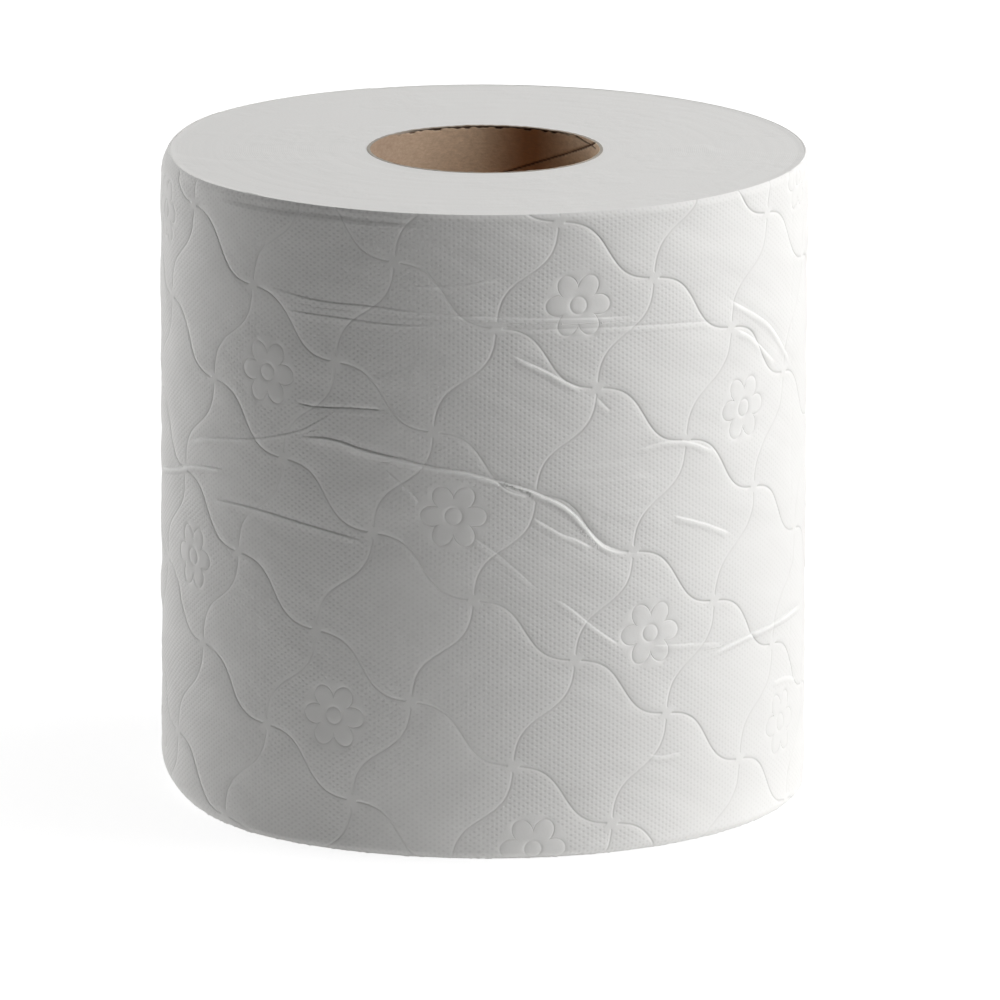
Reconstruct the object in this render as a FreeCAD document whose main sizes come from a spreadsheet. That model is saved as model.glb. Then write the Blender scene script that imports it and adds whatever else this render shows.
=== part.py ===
import FreeCAD, Part
import math
import os

import Sketcher
from FreeCAD import Placement, Rotation, Vector

# Toilet paper roll: an embossed sheet wound on a two-ply cardboard tube, in millimetres.
# The roll stands on Z = 0 with its axis on the Z axis, and its front faces -Y.
# Angles round the roll are counted from +X, counter-clockwise seen from above.

doc = FreeCAD.newDocument("toilet_paper_roll")
sizes = doc.addObject("Spreadsheet::Sheet", "Sizes")

DRIVING_SIZES = [
    ("roll_width", 114.0, "width of the web, the height of the standing roll"),
    ("roll_radius", 57.0, "largest radius, reached at the tail edge"),
    ("sheet_bulk", 0.35, "what one turn of the sheet adds to the radius"),
    ("foot_bevel", 1.2, "soft bevel of the outer rim at the foot"),
    ("loose_turn_gap", 0.15, "slit between the outer turn and the next, at the top"),
    ("loose_turn_depth", 1.0, "how far that slit reaches down"),
    ("tail_angle", 111.4, "where the tail edge lies, in degrees"),
    ("bore_radius", 20.05, "inner radius of the cardboard tube"),
    ("ply_thickness", 0.3, "one of the two plies of cardboard"),
    ("seam_gap", 0.45, "axial gap between the edges of the inner ply"),
    ("seam_pitch", 47.0, "axial advance of the inner ply in one turn"),
    ("seam_top_angle", 15.0, "where the seam meets the upper rim, in degrees"),
    ("emboss_pitch", 20.93, "side of one cell of the embossed lattice, along the web"),
    ("emboss_stretch_ratio", 1.028, "how much wider the lattice is across the web than along it"),
    ("emboss_slant_angle", 31.3, "slant of the lattice against the web, in degrees"),
    ("emboss_sway_ratio", 0.078, "sway of each cell side, as a share of the cell"),
    ("node_front_offset", 2.1, "one lattice node, counted along the web from the front"),
    ("node_height", 94.2, "height of the same node above the foot"),
    ("node_gap", 0.8, "plain paper between a node and the end of a groove"),
    ("groove_bend_ratio", 0.28, "where a groove bends, as a share of the cell from each node"),
    ("groove_width", 1.0, "width of an embossed groove at the surface"),
    ("groove_depth", 0.35, "depth of an embossed groove"),
    ("groove_end_lift", 0.1, "how far a groove's keel has left the paper at its ends"),
    ("groove_edge_gap", 0.6, "plain paper between a groove and the foot, the slit or the tail edge"),
]

for row, (alias, value, meaning) in enumerate(DRIVING_SIZES, start=1):
    sizes.set(f"A{row}", meaning)
    sizes.set(f"B{row}", str(value))
    sizes.setAlias(f"B{row}", alias)
doc.recompute()

PLY_COUNT = 2
QUARTERS = 4
QUARTER_ANGLE = 360.0 / QUARTERS
LOOSE_QUARTERS = 2
SEAM_OVERCUT = 0.3
SEAM_RISE = "Sizes.roll_width + Sizes.seam_gap"
TUBE_RADIUS = f"Sizes.bore_radius + {PLY_COUNT} * Sizes.ply_thickness"


def size(alias):
    """The plain number in one cell of the sheet."""
    return float(getattr(sizes, alias))


def origin_plane(body, role):
    """One of a body's own origin planes."""
    return next(feature for feature in body.Origin.OriginFeatures if feature.Role == role)


def add_sketch(body, name, plane_role):
    """An empty sketch on one of the body's origin planes."""
    sketch = body.newObject("Sketcher::SketchObject", name)
    sketch.AttachmentSupport = [(origin_plane(body, plane_role), "")]
    sketch.MapMode = "FlatFace"
    return sketch


def bind(sketch, constraint, name, expression):
    """Add a dimension to a sketch and tie it to the sheet."""
    index = sketch.addConstraint(constraint)
    sketch.renameConstraint(index, name)
    sketch.setExpression(f"Constraints.{name}", expression)


# The wound sheet

# The outer turn is a spiral of four quarter arcs. Each arc is shorter than the one before by
# a quarter of the sheet's bulk, and the four centres are the corners of a square of that side,
# so neighbours meet without a kink and the radial step left at the end is the tail edge.
QUARTER_CENTRES = [(0.5, -0.5), (0.5, 0.5), (-0.5, 0.5), (-0.5, -0.5)]


def quarter_radius(quarter):
    """Radius of one quarter arc about its own centre."""
    return size("roll_radius") - size("sheet_bulk") * (2 * quarter + 1) / (2 * QUARTERS)


def quarter_centre(quarter):
    """Centre of one quarter arc, with the tail edge at angle zero."""
    side = size("sheet_bulk") / QUARTERS
    across, along = QUARTER_CENTRES[quarter]
    return Vector(across * side, along * side, 0)


def place_on_quarter(sketch, quarter):
    """Set a section sketch upright at the start of a quarter, with its own centre as origin."""
    across, along = QUARTER_CENTRES[quarter]
    start = Rotation(Vector(0, 1, 0), QUARTER_ANGLE * quarter)
    sketch.AttachmentOffset = Placement(Vector(0, 0, 0), start)
    sketch.setExpression("AttachmentOffset.Base.x", f"Sizes.sheet_bulk * {across} / {QUARTERS}")
    sketch.setExpression("AttachmentOffset.Base.z", f"Sizes.sheet_bulk * {-along} / {QUARTERS}")


def draw_loop(sketch, points):
    """Draw a closed loop of straight lines through the points and return the lines."""
    lines = []
    for start, end in zip(points, points[1:] + points[:1]):
        lines.append(sketch.addGeometry(Part.LineSegment(Vector(*start, 0), Vector(*end, 0))))
    for line, following in zip(lines, lines[1:] + lines[:1]):
        sketch.addConstraint(Sketcher.Constraint("Coincident", line, 2, following, 1))
    return lines


def set_level(sketch, line):
    """Hold a line of a sketch level."""
    sketch.addConstraint(Sketcher.Constraint("Horizontal", line))


def set_upright(sketch, line):
    """Hold a line of a sketch upright."""
    sketch.addConstraint(Sketcher.Constraint("Vertical", line))


def reach_of_quarter(quarter):
    """The expression for one quarter arc's radius."""
    return f"Sizes.roll_radius - Sizes.sheet_bulk * {(2 * quarter + 1) / (2 * QUARTERS)}"


def add_quarter(body, quarter):
    """Revolve the roll's half section, with its worn foot, through one quarter turn."""
    radius = quarter_radius(quarter)
    top = size("roll_width")
    bevel = size("foot_bevel")
    sketch = add_sketch(body, f"half_section_{quarter + 1}", "XZ_Plane")
    place_on_quarter(sketch, quarter)
    foot, slope, side, lid, axis = draw_loop(
        sketch, [(0, 0), (radius - bevel, 0), (radius, bevel), (radius, top), (0, top)]
    )
    sketch.addConstraint(Sketcher.Constraint("Coincident", foot, 1, -1, 1))
    for line in (foot, lid):
        set_level(sketch, line)
    for line in (side, axis):
        set_upright(sketch, line)
    reach = Sketcher.Constraint("DistanceX", -1, 1, side, 1, radius)
    bind(sketch, reach, "reach", reach_of_quarter(quarter))
    height = Sketcher.Constraint("DistanceY", -1, 1, lid, 2, top)
    bind(sketch, height, "height", "Sizes.roll_width")
    across = Sketcher.Constraint("DistanceX", slope, 1, slope, 2, bevel)
    bind(sketch, across, "bevel_across", "Sizes.foot_bevel")
    up = Sketcher.Constraint("DistanceY", slope, 1, slope, 2, bevel)
    bind(sketch, up, "bevel_up", "Sizes.foot_bevel")
    turn = body.newObject("PartDesign::Revolution", f"quarter_{quarter + 1}")
    turn.Profile = sketch
    turn.ReferenceAxis = (sketch, ["V_Axis"])
    turn.Angle = QUARTER_ANGLE
    doc.recompute()


def add_loose_turn_slit(body, quarter):
    """Cut one quarter of the slit that frees the upper edge of the outer turn."""
    gap = size("loose_turn_gap")
    depth = size("loose_turn_depth")
    top = size("roll_width")
    inner = quarter_radius(quarter) - size("sheet_bulk") - gap / 2
    sketch = add_sketch(body, f"slit_section_{quarter + 1}", "XZ_Plane")
    place_on_quarter(sketch, quarter)
    floor, outer_side, mouth, inner_side = draw_loop(
        sketch,
        [(inner, top - depth), (inner + gap, top - depth), (inner + gap, top), (inner, top)],
    )
    for line in (floor, mouth):
        set_level(sketch, line)
    for line in (outer_side, inner_side):
        set_upright(sketch, line)
    width = Sketcher.Constraint("DistanceX", floor, 1, floor, 2, gap)
    bind(sketch, width, "gap", "Sizes.loose_turn_gap")
    tall = Sketcher.Constraint("DistanceY", outer_side, 1, outer_side, 2, depth)
    bind(sketch, tall, "depth", "Sizes.loose_turn_depth")
    reach = f"{reach_of_quarter(quarter)} - Sizes.sheet_bulk - Sizes.loose_turn_gap / 2"
    bind(sketch, Sketcher.Constraint("DistanceX", -1, 1, floor, 1, inner), "reach", reach)
    height = Sketcher.Constraint("DistanceY", -1, 1, mouth, 1, top)
    bind(sketch, height, "height", "Sizes.roll_width")
    slit = body.newObject("PartDesign::Groove", f"loose_turn_slit_{quarter + 1}")
    slit.Profile = sketch
    slit.ReferenceAxis = (sketch, ["V_Axis"])
    slit.Angle = QUARTER_ANGLE
    doc.recompute()


def add_wound_sheet():
    """The wound sheet before embossing, with its bore and its tail edge."""
    body = doc.addObject("PartDesign::Body", "wound_sheet")
    for quarter in range(QUARTERS):
        add_quarter(body, quarter)
    for quarter in range(LOOSE_QUARTERS):
        add_loose_turn_slit(body, quarter)
    bore_sketch = add_sketch(body, "bore_outline", "XY_Plane")
    bore_sketch.AttachmentOffset = Placement(Vector(0, 0, 0), Rotation(Vector(0, 0, 1), 1))
    bore_sketch.setExpression("AttachmentOffset.Rotation.Angle", "360 - Sizes.tail_angle")
    tube_radius = size("bore_radius") + PLY_COUNT * size("ply_thickness")
    circle = bore_sketch.addGeometry(Part.Circle(Vector(0, 0, 0), Vector(0, 0, 1), tube_radius))
    bore_sketch.addConstraint(Sketcher.Constraint("Coincident", circle, 3, -1, 1))
    bind(bore_sketch, Sketcher.Constraint("Radius", circle, tube_radius), "tube_radius", TUBE_RADIUS)
    bore = body.newObject("PartDesign::Pocket", "bore")
    bore.Profile = bore_sketch
    bore.Type = "ThroughAll"
    bore.Reversed = True
    body.Placement = Placement(Vector(0, 0, 0), Rotation(Vector(0, 0, 1), size("tail_angle")))
    body.setExpression("Placement.Rotation.Angle", "Sizes.tail_angle")
    doc.recompute()
    return body


# The embossed lattice

FRONT_ANGLE = -90.0
GROOVE_PROBES = 12
HALVINGS = 30
SPARE_CELLS = 2


def lattice_steps():
    """The two cell sides of the lattice, as (along the web, up the roll)."""
    pitch = size("emboss_pitch")
    stretch = size("emboss_stretch_ratio")
    slant = math.radians(size("emboss_slant_angle"))
    level = (pitch * math.cos(slant), -pitch * stretch * math.sin(slant))
    steep = (-pitch * math.sin(slant), -pitch * stretch * math.cos(slant))
    return level, steep


def lattice_point(level_count, steep_count):
    """A point of the lattice on the unrolled sheet, from its two counts of cells."""
    level, steep = lattice_steps()
    along = size("node_front_offset") + level_count * level[0] + steep_count * steep[0]
    up = size("node_height") + level_count * level[1] + steep_count * steep[1]
    return along, up


def cell_side(family, line, cell, share):
    """A point on the S-shaped side of a cell; share runs from one node to the next."""
    sway = size("emboss_sway_ratio") * math.sin(2 * math.pi * share)
    if family == "level":
        return lattice_point(cell + share, line - sway)
    return lattice_point(line + sway, cell + share)


def sheet_window():
    """Where grooves may lie on the unrolled outer turn: two limits along it, two up it."""
    radius = size("roll_radius")
    edge = size("groove_edge_gap")
    start = radius * math.radians(size("tail_angle") - FRONT_ANGLE - 360)
    finish = start + 2 * math.pi * radius
    foot = size("foot_bevel") + edge
    top = size("roll_width") - size("loose_turn_depth") - edge
    return start + edge, finish - edge, foot, top


def is_inside(point, window):
    """Whether a point of the unrolled sheet is inside the window."""
    return window[0] <= point[0] <= window[1] and window[2] <= point[1] <= window[3]


def edge_share(family, line, cell, inside, outside, window):
    """The share at which a cell side crosses the window's edge, by halving."""
    for _ in range(HALVINGS):
        middle = (inside + outside) / 2
        if is_inside(cell_side(family, line, cell, middle), window):
            inside = middle
        else:
            outside = middle
    return inside


def groove_shares(family, line, cell, window):
    """The shares of a groove's corners, cut back to the window.

    A groove of which less than half would lie on the sheet is left out.
    """
    gap = size("node_gap") / size("emboss_pitch")
    step = (1 - 2 * gap) / GROOVE_PROBES
    probes = [gap + step * count for count in range(GROOVE_PROBES + 1)]
    inside = [share for share in probes if is_inside(cell_side(family, line, cell, share), window)]
    if 2 * len(inside) <= GROOVE_PROBES:
        return []
    first, last = inside[0], inside[-1]
    if first > probes[0]:
        first = edge_share(family, line, cell, first, first - step, window)
    if last < probes[-1]:
        last = edge_share(family, line, cell, last, last + step, window)
    bend = size("groove_bend_ratio")
    bends = [share for share in (bend, 1 - bend) if first + step < share < last - step]
    return [first] + bends + [last]


def on_outer_turn(point, lift):
    """The place of an unrolled point on the spiral surface, lifted off it by a distance."""
    along, up = point
    radius = size("roll_radius")
    angle = math.degrees(along / radius) + FRONT_ANGLE
    past_tail = (angle - size("tail_angle")) % 360
    quarter = min(int(past_tail / QUARTER_ANGLE), QUARTERS - 1)
    turned = Rotation(Vector(0, 0, 1), size("tail_angle"))
    outward = turned.multVec(Rotation(Vector(0, 0, 1), past_tail).multVec(Vector(1, 0, 0)))
    centre = turned.multVec(quarter_centre(quarter))
    return centre + outward * (quarter_radius(quarter) + lift) + Vector(0, 0, up)


def groove_tool(corners):
    """A canoe-shaped solid with flat faces that presses one groove into the sheet.

    Its keel follows the corners at the groove's depth and leaves the paper at both ends. Its two
    rails run above the paper, beside the corners between the ends.
    """
    depth = size("groove_depth")
    height = 2 * depth
    half_width = size("groove_width") / 2 * height / depth
    last = len(corners) - 1
    lifts = [size("groove_end_lift")] + [-depth] * (last - 1) + [size("groove_end_lift")]
    keel = [on_outer_turn(corner, lift) for corner, lift in zip(corners, lifts)]
    bow, stern = keel[0], keel[last]
    bends = keel[1:last]
    course = bends[-1] - bends[0] if len(bends) > 1 else stern - bow
    middle = (bends[0] + bends[-1]) / 2
    outward = Vector(middle.x, middle.y, 0).normalize()
    sideways = course.cross(outward).normalize() * half_width
    right = [bend + outward * height + sideways for bend in bends]
    left = [bend + outward * height - sideways for bend in bends]
    faces = []
    for rail in (right, left):
        faces.append([bow, bends[0], rail[0]])
        faces.append([stern, bends[-1], rail[-1]])
    faces.append([bow, right[0], left[0]])
    faces.append([stern, right[-1], left[-1]])
    if len(bends) > 1:
        faces.append([bends[0], bends[1], right[1], right[0]])
        faces.append([bends[0], bends[1], left[1], left[0]])
        faces.append([right[0], right[1], left[1], left[0]])
    shell = Part.Shell([Part.Face(Part.makePolygon(loop + loop[:1])) for loop in faces])
    shell.sewShape()
    solid = Part.Solid(shell)
    if solid.Volume < 0:
        solid.reverse()
    return solid


def lattice_tools():
    """All grooves of the lattice on the outer turn, as separate solids."""
    window = sheet_window()
    pitch = size("emboss_pitch")
    reach = int((window[1] - window[0] + window[3]) / pitch) + SPARE_CELLS
    tools = []
    for family in ("level", "steep"):
        for line in range(-reach, reach + 1):
            for cell in range(-reach, reach + 1):
                shares = groove_shares(family, line, cell, window)
                if shares:
                    corners = [cell_side(family, line, cell, share) for share in shares]
                    tools.append(groove_tool(corners))
    return tools


def add_paper_roll():
    """The wound sheet with the lattice pressed into it."""
    body = add_wound_sheet()
    pressing = doc.addObject("Part::Feature", "lattice_pressing")
    pressing.Shape = Part.makeCompound(lattice_tools())
    roll = doc.addObject("Part::Cut", "paper_roll")
    roll.Base = body
    roll.Tool = pressing
    roll.Label = "paper_roll"
    return roll


# The cardboard tube


def add_core_tube():
    """A tube of two plies, with the slanted seam of the inner ply open down its bore."""
    body = doc.addObject("PartDesign::Body", "core_tube")
    bore_radius = size("bore_radius")
    tube_radius = bore_radius + PLY_COUNT * size("ply_thickness")
    ring = add_sketch(body, "tube_section", "XY_Plane")
    up = Vector(0, 0, 1)
    inner = ring.addGeometry(Part.Circle(Vector(0, 0, 0), up, bore_radius))
    outer = ring.addGeometry(Part.Circle(Vector(0, 0, 0), up, tube_radius))
    ring.addConstraint(Sketcher.Constraint("Coincident", inner, 3, -1, 1))
    ring.addConstraint(Sketcher.Constraint("Coincident", outer, 3, -1, 1))
    bind(ring, Sketcher.Constraint("Radius", inner, bore_radius), "bore_radius", "Sizes.bore_radius")
    bind(ring, Sketcher.Constraint("Radius", outer, tube_radius), "tube_radius", TUBE_RADIUS)
    wall = body.newObject("PartDesign::Pad", "tube_wall")
    wall.Profile = ring
    wall.setExpression("Length", "Sizes.roll_width")
    doc.recompute()
    half_gap = size("seam_gap") / 2
    mouth = bore_radius - SEAM_OVERCUT
    root = bore_radius + size("ply_thickness")
    flare = half_gap * (root - mouth) / size("ply_thickness")
    seam_section = add_sketch(body, "seam_section", "XZ_Plane")
    back, upper, lower = draw_loop(seam_section, [(mouth, -flare), (mouth, flare), (root, 0)])
    seam_section.addConstraint(Sketcher.Constraint("PointOnObject", upper, 2, -1))
    seam_section.addConstraint(Sketcher.Constraint("Symmetric", back, 1, back, 2, -1))
    depth = Sketcher.Constraint("DistanceX", -1, 1, upper, 2, root)
    bind(seam_section, depth, "ply_outside", "Sizes.bore_radius + Sizes.ply_thickness")
    inside = Sketcher.Constraint("DistanceX", -1, 1, back, 1, mouth)
    bind(seam_section, inside, "seam_inside", f"Sizes.bore_radius - {SEAM_OVERCUT}")
    tall = Sketcher.Constraint("DistanceY", back, 1, back, 2, 2 * flare)
    widening = f"(Sizes.ply_thickness + {SEAM_OVERCUT}) / Sizes.ply_thickness"
    bind(seam_section, tall, "seam_flare", f"Sizes.seam_gap * {widening}")
    seam_section.AttachmentOffset = Placement(Vector(0, 0, 0), Rotation(Vector(0, 1, 0), 1))
    seam_section.setExpression("AttachmentOffset.Base.y", "-Sizes.seam_gap")
    turn = f"Sizes.seam_top_angle + ({SEAM_RISE}) / Sizes.seam_pitch * 360"
    seam_section.setExpression("AttachmentOffset.Rotation.Angle", turn)
    seam = body.newObject("PartDesign::SubtractiveHelix", "inner_ply_seam")
    seam.Profile = seam_section
    seam.ReferenceAxis = (seam_section, ["V_Axis"])
    seam.Mode = "pitch-height-angle"
    seam.setExpression("Pitch", "Sizes.seam_pitch")
    seam.setExpression("Height", "Sizes.roll_width + 2 * Sizes.seam_gap")
    seam.LeftHanded = True
    doc.recompute()
    return body


roll = add_paper_roll()
core = add_core_tube()
sub_parts = [roll, core]
doc.recompute()

for item in doc.Objects:
    if "Invalid" in item.State or "Error" in item.State:
        raise RuntimeError(f"{item.Label} did not build: {item.State}")
for item in sub_parts:
    if item.Shape.isNull() or not item.Shape.isValid():
        raise RuntimeError(f"{item.Label} has no sound shape")

os.makedirs("parts", exist_ok=True)
for item in sub_parts:
    item.Shape.exportStep(f"parts/{item.Label}.step")
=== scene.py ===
import math

import bpy
import numpy as np
from bpy.props import FloatProperty, FloatVectorProperty, IntProperty, PointerProperty
from mathutils import Matrix, Vector


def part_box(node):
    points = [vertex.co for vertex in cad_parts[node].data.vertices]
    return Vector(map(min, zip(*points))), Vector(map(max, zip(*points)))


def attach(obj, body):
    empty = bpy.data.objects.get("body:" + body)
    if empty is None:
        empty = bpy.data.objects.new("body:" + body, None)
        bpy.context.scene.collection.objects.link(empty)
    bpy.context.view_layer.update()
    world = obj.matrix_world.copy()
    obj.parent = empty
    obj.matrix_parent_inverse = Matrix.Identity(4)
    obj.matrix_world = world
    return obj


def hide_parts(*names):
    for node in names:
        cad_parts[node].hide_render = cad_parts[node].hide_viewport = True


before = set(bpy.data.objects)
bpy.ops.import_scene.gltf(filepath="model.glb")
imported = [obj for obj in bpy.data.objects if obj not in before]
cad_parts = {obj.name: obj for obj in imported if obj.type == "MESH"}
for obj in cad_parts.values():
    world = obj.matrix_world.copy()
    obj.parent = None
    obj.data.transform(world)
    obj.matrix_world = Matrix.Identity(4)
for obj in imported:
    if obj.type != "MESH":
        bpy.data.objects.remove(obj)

bl_info = {
    "name": "Toilet Paper Roll",
    "version": (1, 0, 0),
    "blender": (4, 5, 0),
    "location": "View3D > Sidebar > Roll",
    "description": "Embossed tissue sheets wound on a cardboard core, with its photo setting",
    "category": "Add Mesh",
}

# Lengths inside the functions are millimetres; MM turns them into the scene's metres.
MM = 0.001
FULL_TURN = 2 * math.pi
QUARTERS = 4
FRONT_ANGLE = -math.pi / 2
QUARTER_CENTRES = np.array([(0.5, -0.5), (0.5, 0.5), (-0.5, 0.5), (-0.5, -0.5)])
SHARP_ANGLE = math.radians(50)
PAPER_FINISH = {"Roughness": 0.95, "Specular IOR Level": 0.15}
BOARD_FINISH = {"Roughness": 0.9, "Specular IOR Level": 0.2}
BLACK, WHITE = (0.0, 0.0, 0.0, 1.0), (1.0, 1.0, 1.0, 1.0)

# Where a groove fades in, counted from the end of the plain paper round a node.
GROOVE_ENDS = (-0.3, 0.4)
# The paper sinks towards a groove over this many times the groove's reach.
PILLOW_REACH = 6
# A rosette's petals, and shares of its reach: the notches between petals and the middle ring.
PETALS = 6
PETAL_NOTCH, PETAL_ROUNDNESS, MIDDLE_RING = 0.55, 0.7, 0.26
PETAL_REACH, RING_REACH = 0.42, 0.36

# The step across a crease and the fading on its two sides, in half widths of the crease.
CREASE_STEP = (-0.5, 0.7)
LIP_FADE, NOTCH_FADE, CREASE_REACH = 3.2, 2.0, 7
# Creases at least this wide are soft folds without a sharp line.
SOFT_WIDTH = 0.8
# Share of a crease's length over which its ends fade in.
CREASE_ENDS = (-0.02, 0.12)
# Distance from a crease over which its sharp line's strength is kept and then fades.
SHARP_REACH = (0.9, 1.4)
# The distance from a crease that is noted where none is near.
FAR_AWAY = 2.0

# Soft wrinkles: how many waves, their lengths, how much they lean, and their height as a share
# of their length.
WRINKLES, WRINKLE_LENGTHS, WRINKLE_LEAN, WRINKLE_SHARE = 26, (3.5, 16.0), 0.35, 1.4 / 1100
# Slits between two sheets: depth, reach along the sheet, distance between two bonds, and the
# cosine over which a slit ends beside a bond.
PERFORATION_DEPTH, PERFORATION_REACH, BOND_PITCH, SLIT_ENDS = 0.05, 0.4, 3.2, (-0.75, -0.45)
# The relief fades out towards the top and towards the foot over these heights.
CALM_TOP, CALM_FOOT = 1.0, 1.2
# Room that the outer sheet keeps over its creases, and the least depth under the roll's side.
RELIEF_ROOM, LEAST_ROOM = 0.14, 0.01

# Stretches along the sheet, as where each starts, is full, ends to be full, and is over.
CRUSHED_TOP = (-122, -100, -84, -58)
CRUSHED_FOOT = (-125, -100, -78, -40)
DENTED = (-56, -44, -18, -6)
# Worn rims: height, then what is added to the height and to the depth where they are crushed.
TOP_WEAR, FOOT_WEAR = (1.2, 2.8, 0.9), (1.6, 4.4, 1.8)
# The dent under the rim: depth, a stretch down from the rim, and how its edge sways.
DENT_DEPTH, DENT_BAND, DENT_SWAY, SWAY_LENGTH = 0.38, (0.1, 1.8, 1.85, 2.35), 0.15, 6

# The outer sheet's rows: their limits up the sheet and how many lie between them.
ROW_LIMITS = (0, 1.2, 50, 99)
ROW_COUNTS = (8, 132, 193, 46)
# Its frayed foot edge, and the heights near both edges where its inner side steps back.
FRAY_DEPTH, FRAY_REACH, FRAY_WAVES = 0.22, 0.8, (31, 53, 97, 149, 211, 283)
EDGE_MARGIN = 2.0
EDGE_ROOM, FOOT_ROOM = 0.1, 0.05

# The wound turns: points round them and across each end face, and gaps that keep them apart
# from the outer sheet and the core.
TURN_COLUMNS, TOP_RINGS, FOOT_RINGS = 240, 330, 60
CROWN_GAP, BORE_GAP = 0.12, 0.01
TOP_DROP, RIM_RISE, LEAST_DROP, FOOT_RISE = 0.13, 0.09, 0.02, 0.03
# The gap beside a lifted place of the outer sheet: where along the sheet, its reach, its width.
LIFTED = (-46, 2.6, 0.35)

# The core's fine rows reach this deep under the rim, where the seam is cut into the wall.
SEAM_DEPTH = 20.0
CORE_FOOT, GLUE_GAP = 0.03, 0.005
# Both rims of the core: how far they lie under its top, and how uneven they are.
INNER_RIM, OUTER_RIM, RIM_WAVES = (0.10, 0.06), (0.06, 0.04), (7, 13, 22, 37, 61, 84)
# The torn scallops under the back rim: their least reach, what the waves add, and the waves.
TORN_REACH, TORN_SWING, TORN_WAVES = 0.25, 0.35, (23, 31, 46, 71)
SPLIT_REACH = 0.16


def number(name, description, value, **kind):
    """A plain number that the panel shows, or one of another kind."""
    return FloatProperty(name=name, description=description, default=value, precision=5, **kind)


def metres(name, description, value):
    """A length that the panel shows."""
    return number(name, description, value, unit="LENGTH")


def degrees(name, description, value):
    """An angle that the panel shows."""
    return number(name, description, math.radians(value), subtype="ANGLE")


def rgba(name, description, *colour):
    """A colour that the panel shows."""
    return FloatVectorProperty(
        name=name, description=description, default=colour, subtype="COLOR", size=4,
        min=0.0, max=1.0,
    )


class RollSizes(bpy.types.PropertyGroup):
    """Sizes of the wound sheet, the same as the solid's, and its colours."""

    colour: rgba("Paper Colour", "Colour of the tissue", 0.86, 0.853, 0.836, 1.0)
    # Painted highlight along the upward-facing step under each crease.
    lip_highlight: rgba("Stretched Colour", "Colour of the tissue along a crease", 1.0, 1.0, 0.98, 1.0)
    radius: metres("Radius", "Largest radius, reached at the tail edge", 0.057)
    bulk: metres("Sheet Bulk", "What one turn adds to the radius", 0.00035)
    tail_angle: degrees("Tail Angle", "Where the tail edge lies, from +X", 111.4)
    sheet_length: metres("Sheet Length", "Distance between two rows of perforation", 0.1143)
    foot_bevel: metres("Foot Bevel", "How far the rim is worn in at the foot", 0.0012)
    top_bevel: metres("Top Bevel", "How far the rim is worn in at the top", 0.0005)
    sheet_depth: metres(
        "Sheet Depth", "Room for the outer sheet, its grooves and its creases", 0.0009
    )
    edge_depth: metres("Edge Depth", "Thickness of the outer sheet at its cut edges", 0.00028)
    column_step: metres("Column Step", "Distance between points along the sheet, in view", 0.00045)
    back_step: metres("Back Step", "Distance between points along the sheet, at the back", 0.001)
    view_reach: metres("View Reach", "How far the fine points reach each way from the front", 0.09)


class EmbossSizes(bpy.types.PropertyGroup):
    """Sizes of the lattice and the rosettes, the lattice's the same as the solid's."""

    pitch: metres("Pitch", "Side of one cell along the sheet", 0.02093)
    stretch: number("Stretch", "How much wider the lattice is across the sheet", 1.028)
    slant: degrees("Slant", "Slant of the lattice against the sheet", 31.3)
    sway: number("Sway", "Sway of each cell side, as a share of the cell", 0.078)
    front_offset: metres("Front Offset", "One node, counted along the sheet from the front", 0.0021)
    node_height: metres("Node Height", "Height of the same node above the foot", 0.0942)
    groove_depth: metres("Groove Depth", "Depth of a groove", 0.00012)
    groove_reach: metres("Groove Reach", "Distance from the groove's line to its shoulder", 0.00046)
    line_depth: metres("Line Depth", "Depth of the sharp line in a groove's floor", 0.00011)
    line_reach: metres("Line Reach", "Half width of the sharp line in a groove's floor", 0.0002)
    node_gap: metres("Node Gap", "Plain paper between a node and the end of a groove", 0.0011)
    pillow: metres("Pillow", "How far the paper sinks towards a groove", 0.00007)
    rosette_radius: metres("Rosette Radius", "Reach of a rosette's petals", 0.0058)
    dot_pitch: metres("Dot Pitch", "Distance along the sheet between dots of one row", 0.00154)
    dot_rise: metres("Dot Rise", "Distance up the sheet between dots of one column", 0.00101)
    dot_depth: metres("Dot Depth", "Depth of the dots of the fine emboss", 0.00005)
    steep_share: number(
        "Steep Share", "Depth of the steep grooves as a share of the level ones", 0.65
    )


class CoreSizes(bpy.types.PropertyGroup):
    """Sizes of the cardboard tube, the same as the solid's, and its colours."""

    # Painted light and shade across the bore: the lit colour on the right, the shaded one on the
    # left, and a redder patch of painted shade just right of the middle.
    light: rgba("Board Colour", "The board on the right", 0.95, 0.74, 0.54, 1.0)
    painted_shade: rgba("Shade Colour", "The board on the left", 0.52, 0.40, 0.30, 1.0)
    warm_shade: rgba("Warm Colour", "The board's warm patch", 0.46, 0.22, 0.10, 1.0)
    fibre: rgba("Fibre Colour", "The board's fibres", 0.22, 0.13, 0.08, 1.0)
    # Painted shade in the gaps of the inner ply: its seam, its split and the torn scallops under
    # the back rim.
    gap: rgba("Gap Colour", "The gaps in the inner ply", 0.03, 0.015, 0.01, 1.0)
    rim: rgba("Rim Colour", "The board's cut rim", 0.44, 0.40, 0.35, 1.0)
    ply: metres("Ply", "Thickness of one ply", 0.0003)
    seam_gap: metres("Seam Gap", "Gap between the edges of the inner ply", 0.00045)
    seam_pitch: metres("Seam Pitch", "Rise of the seam in one turn", 0.047)
    seam_top_angle: degrees("Seam Top Angle", "Where the seam meets the upper rim, from +X", 15.0)
    columns: IntProperty(name="Columns", description="Points round the tube", default=720)


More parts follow.
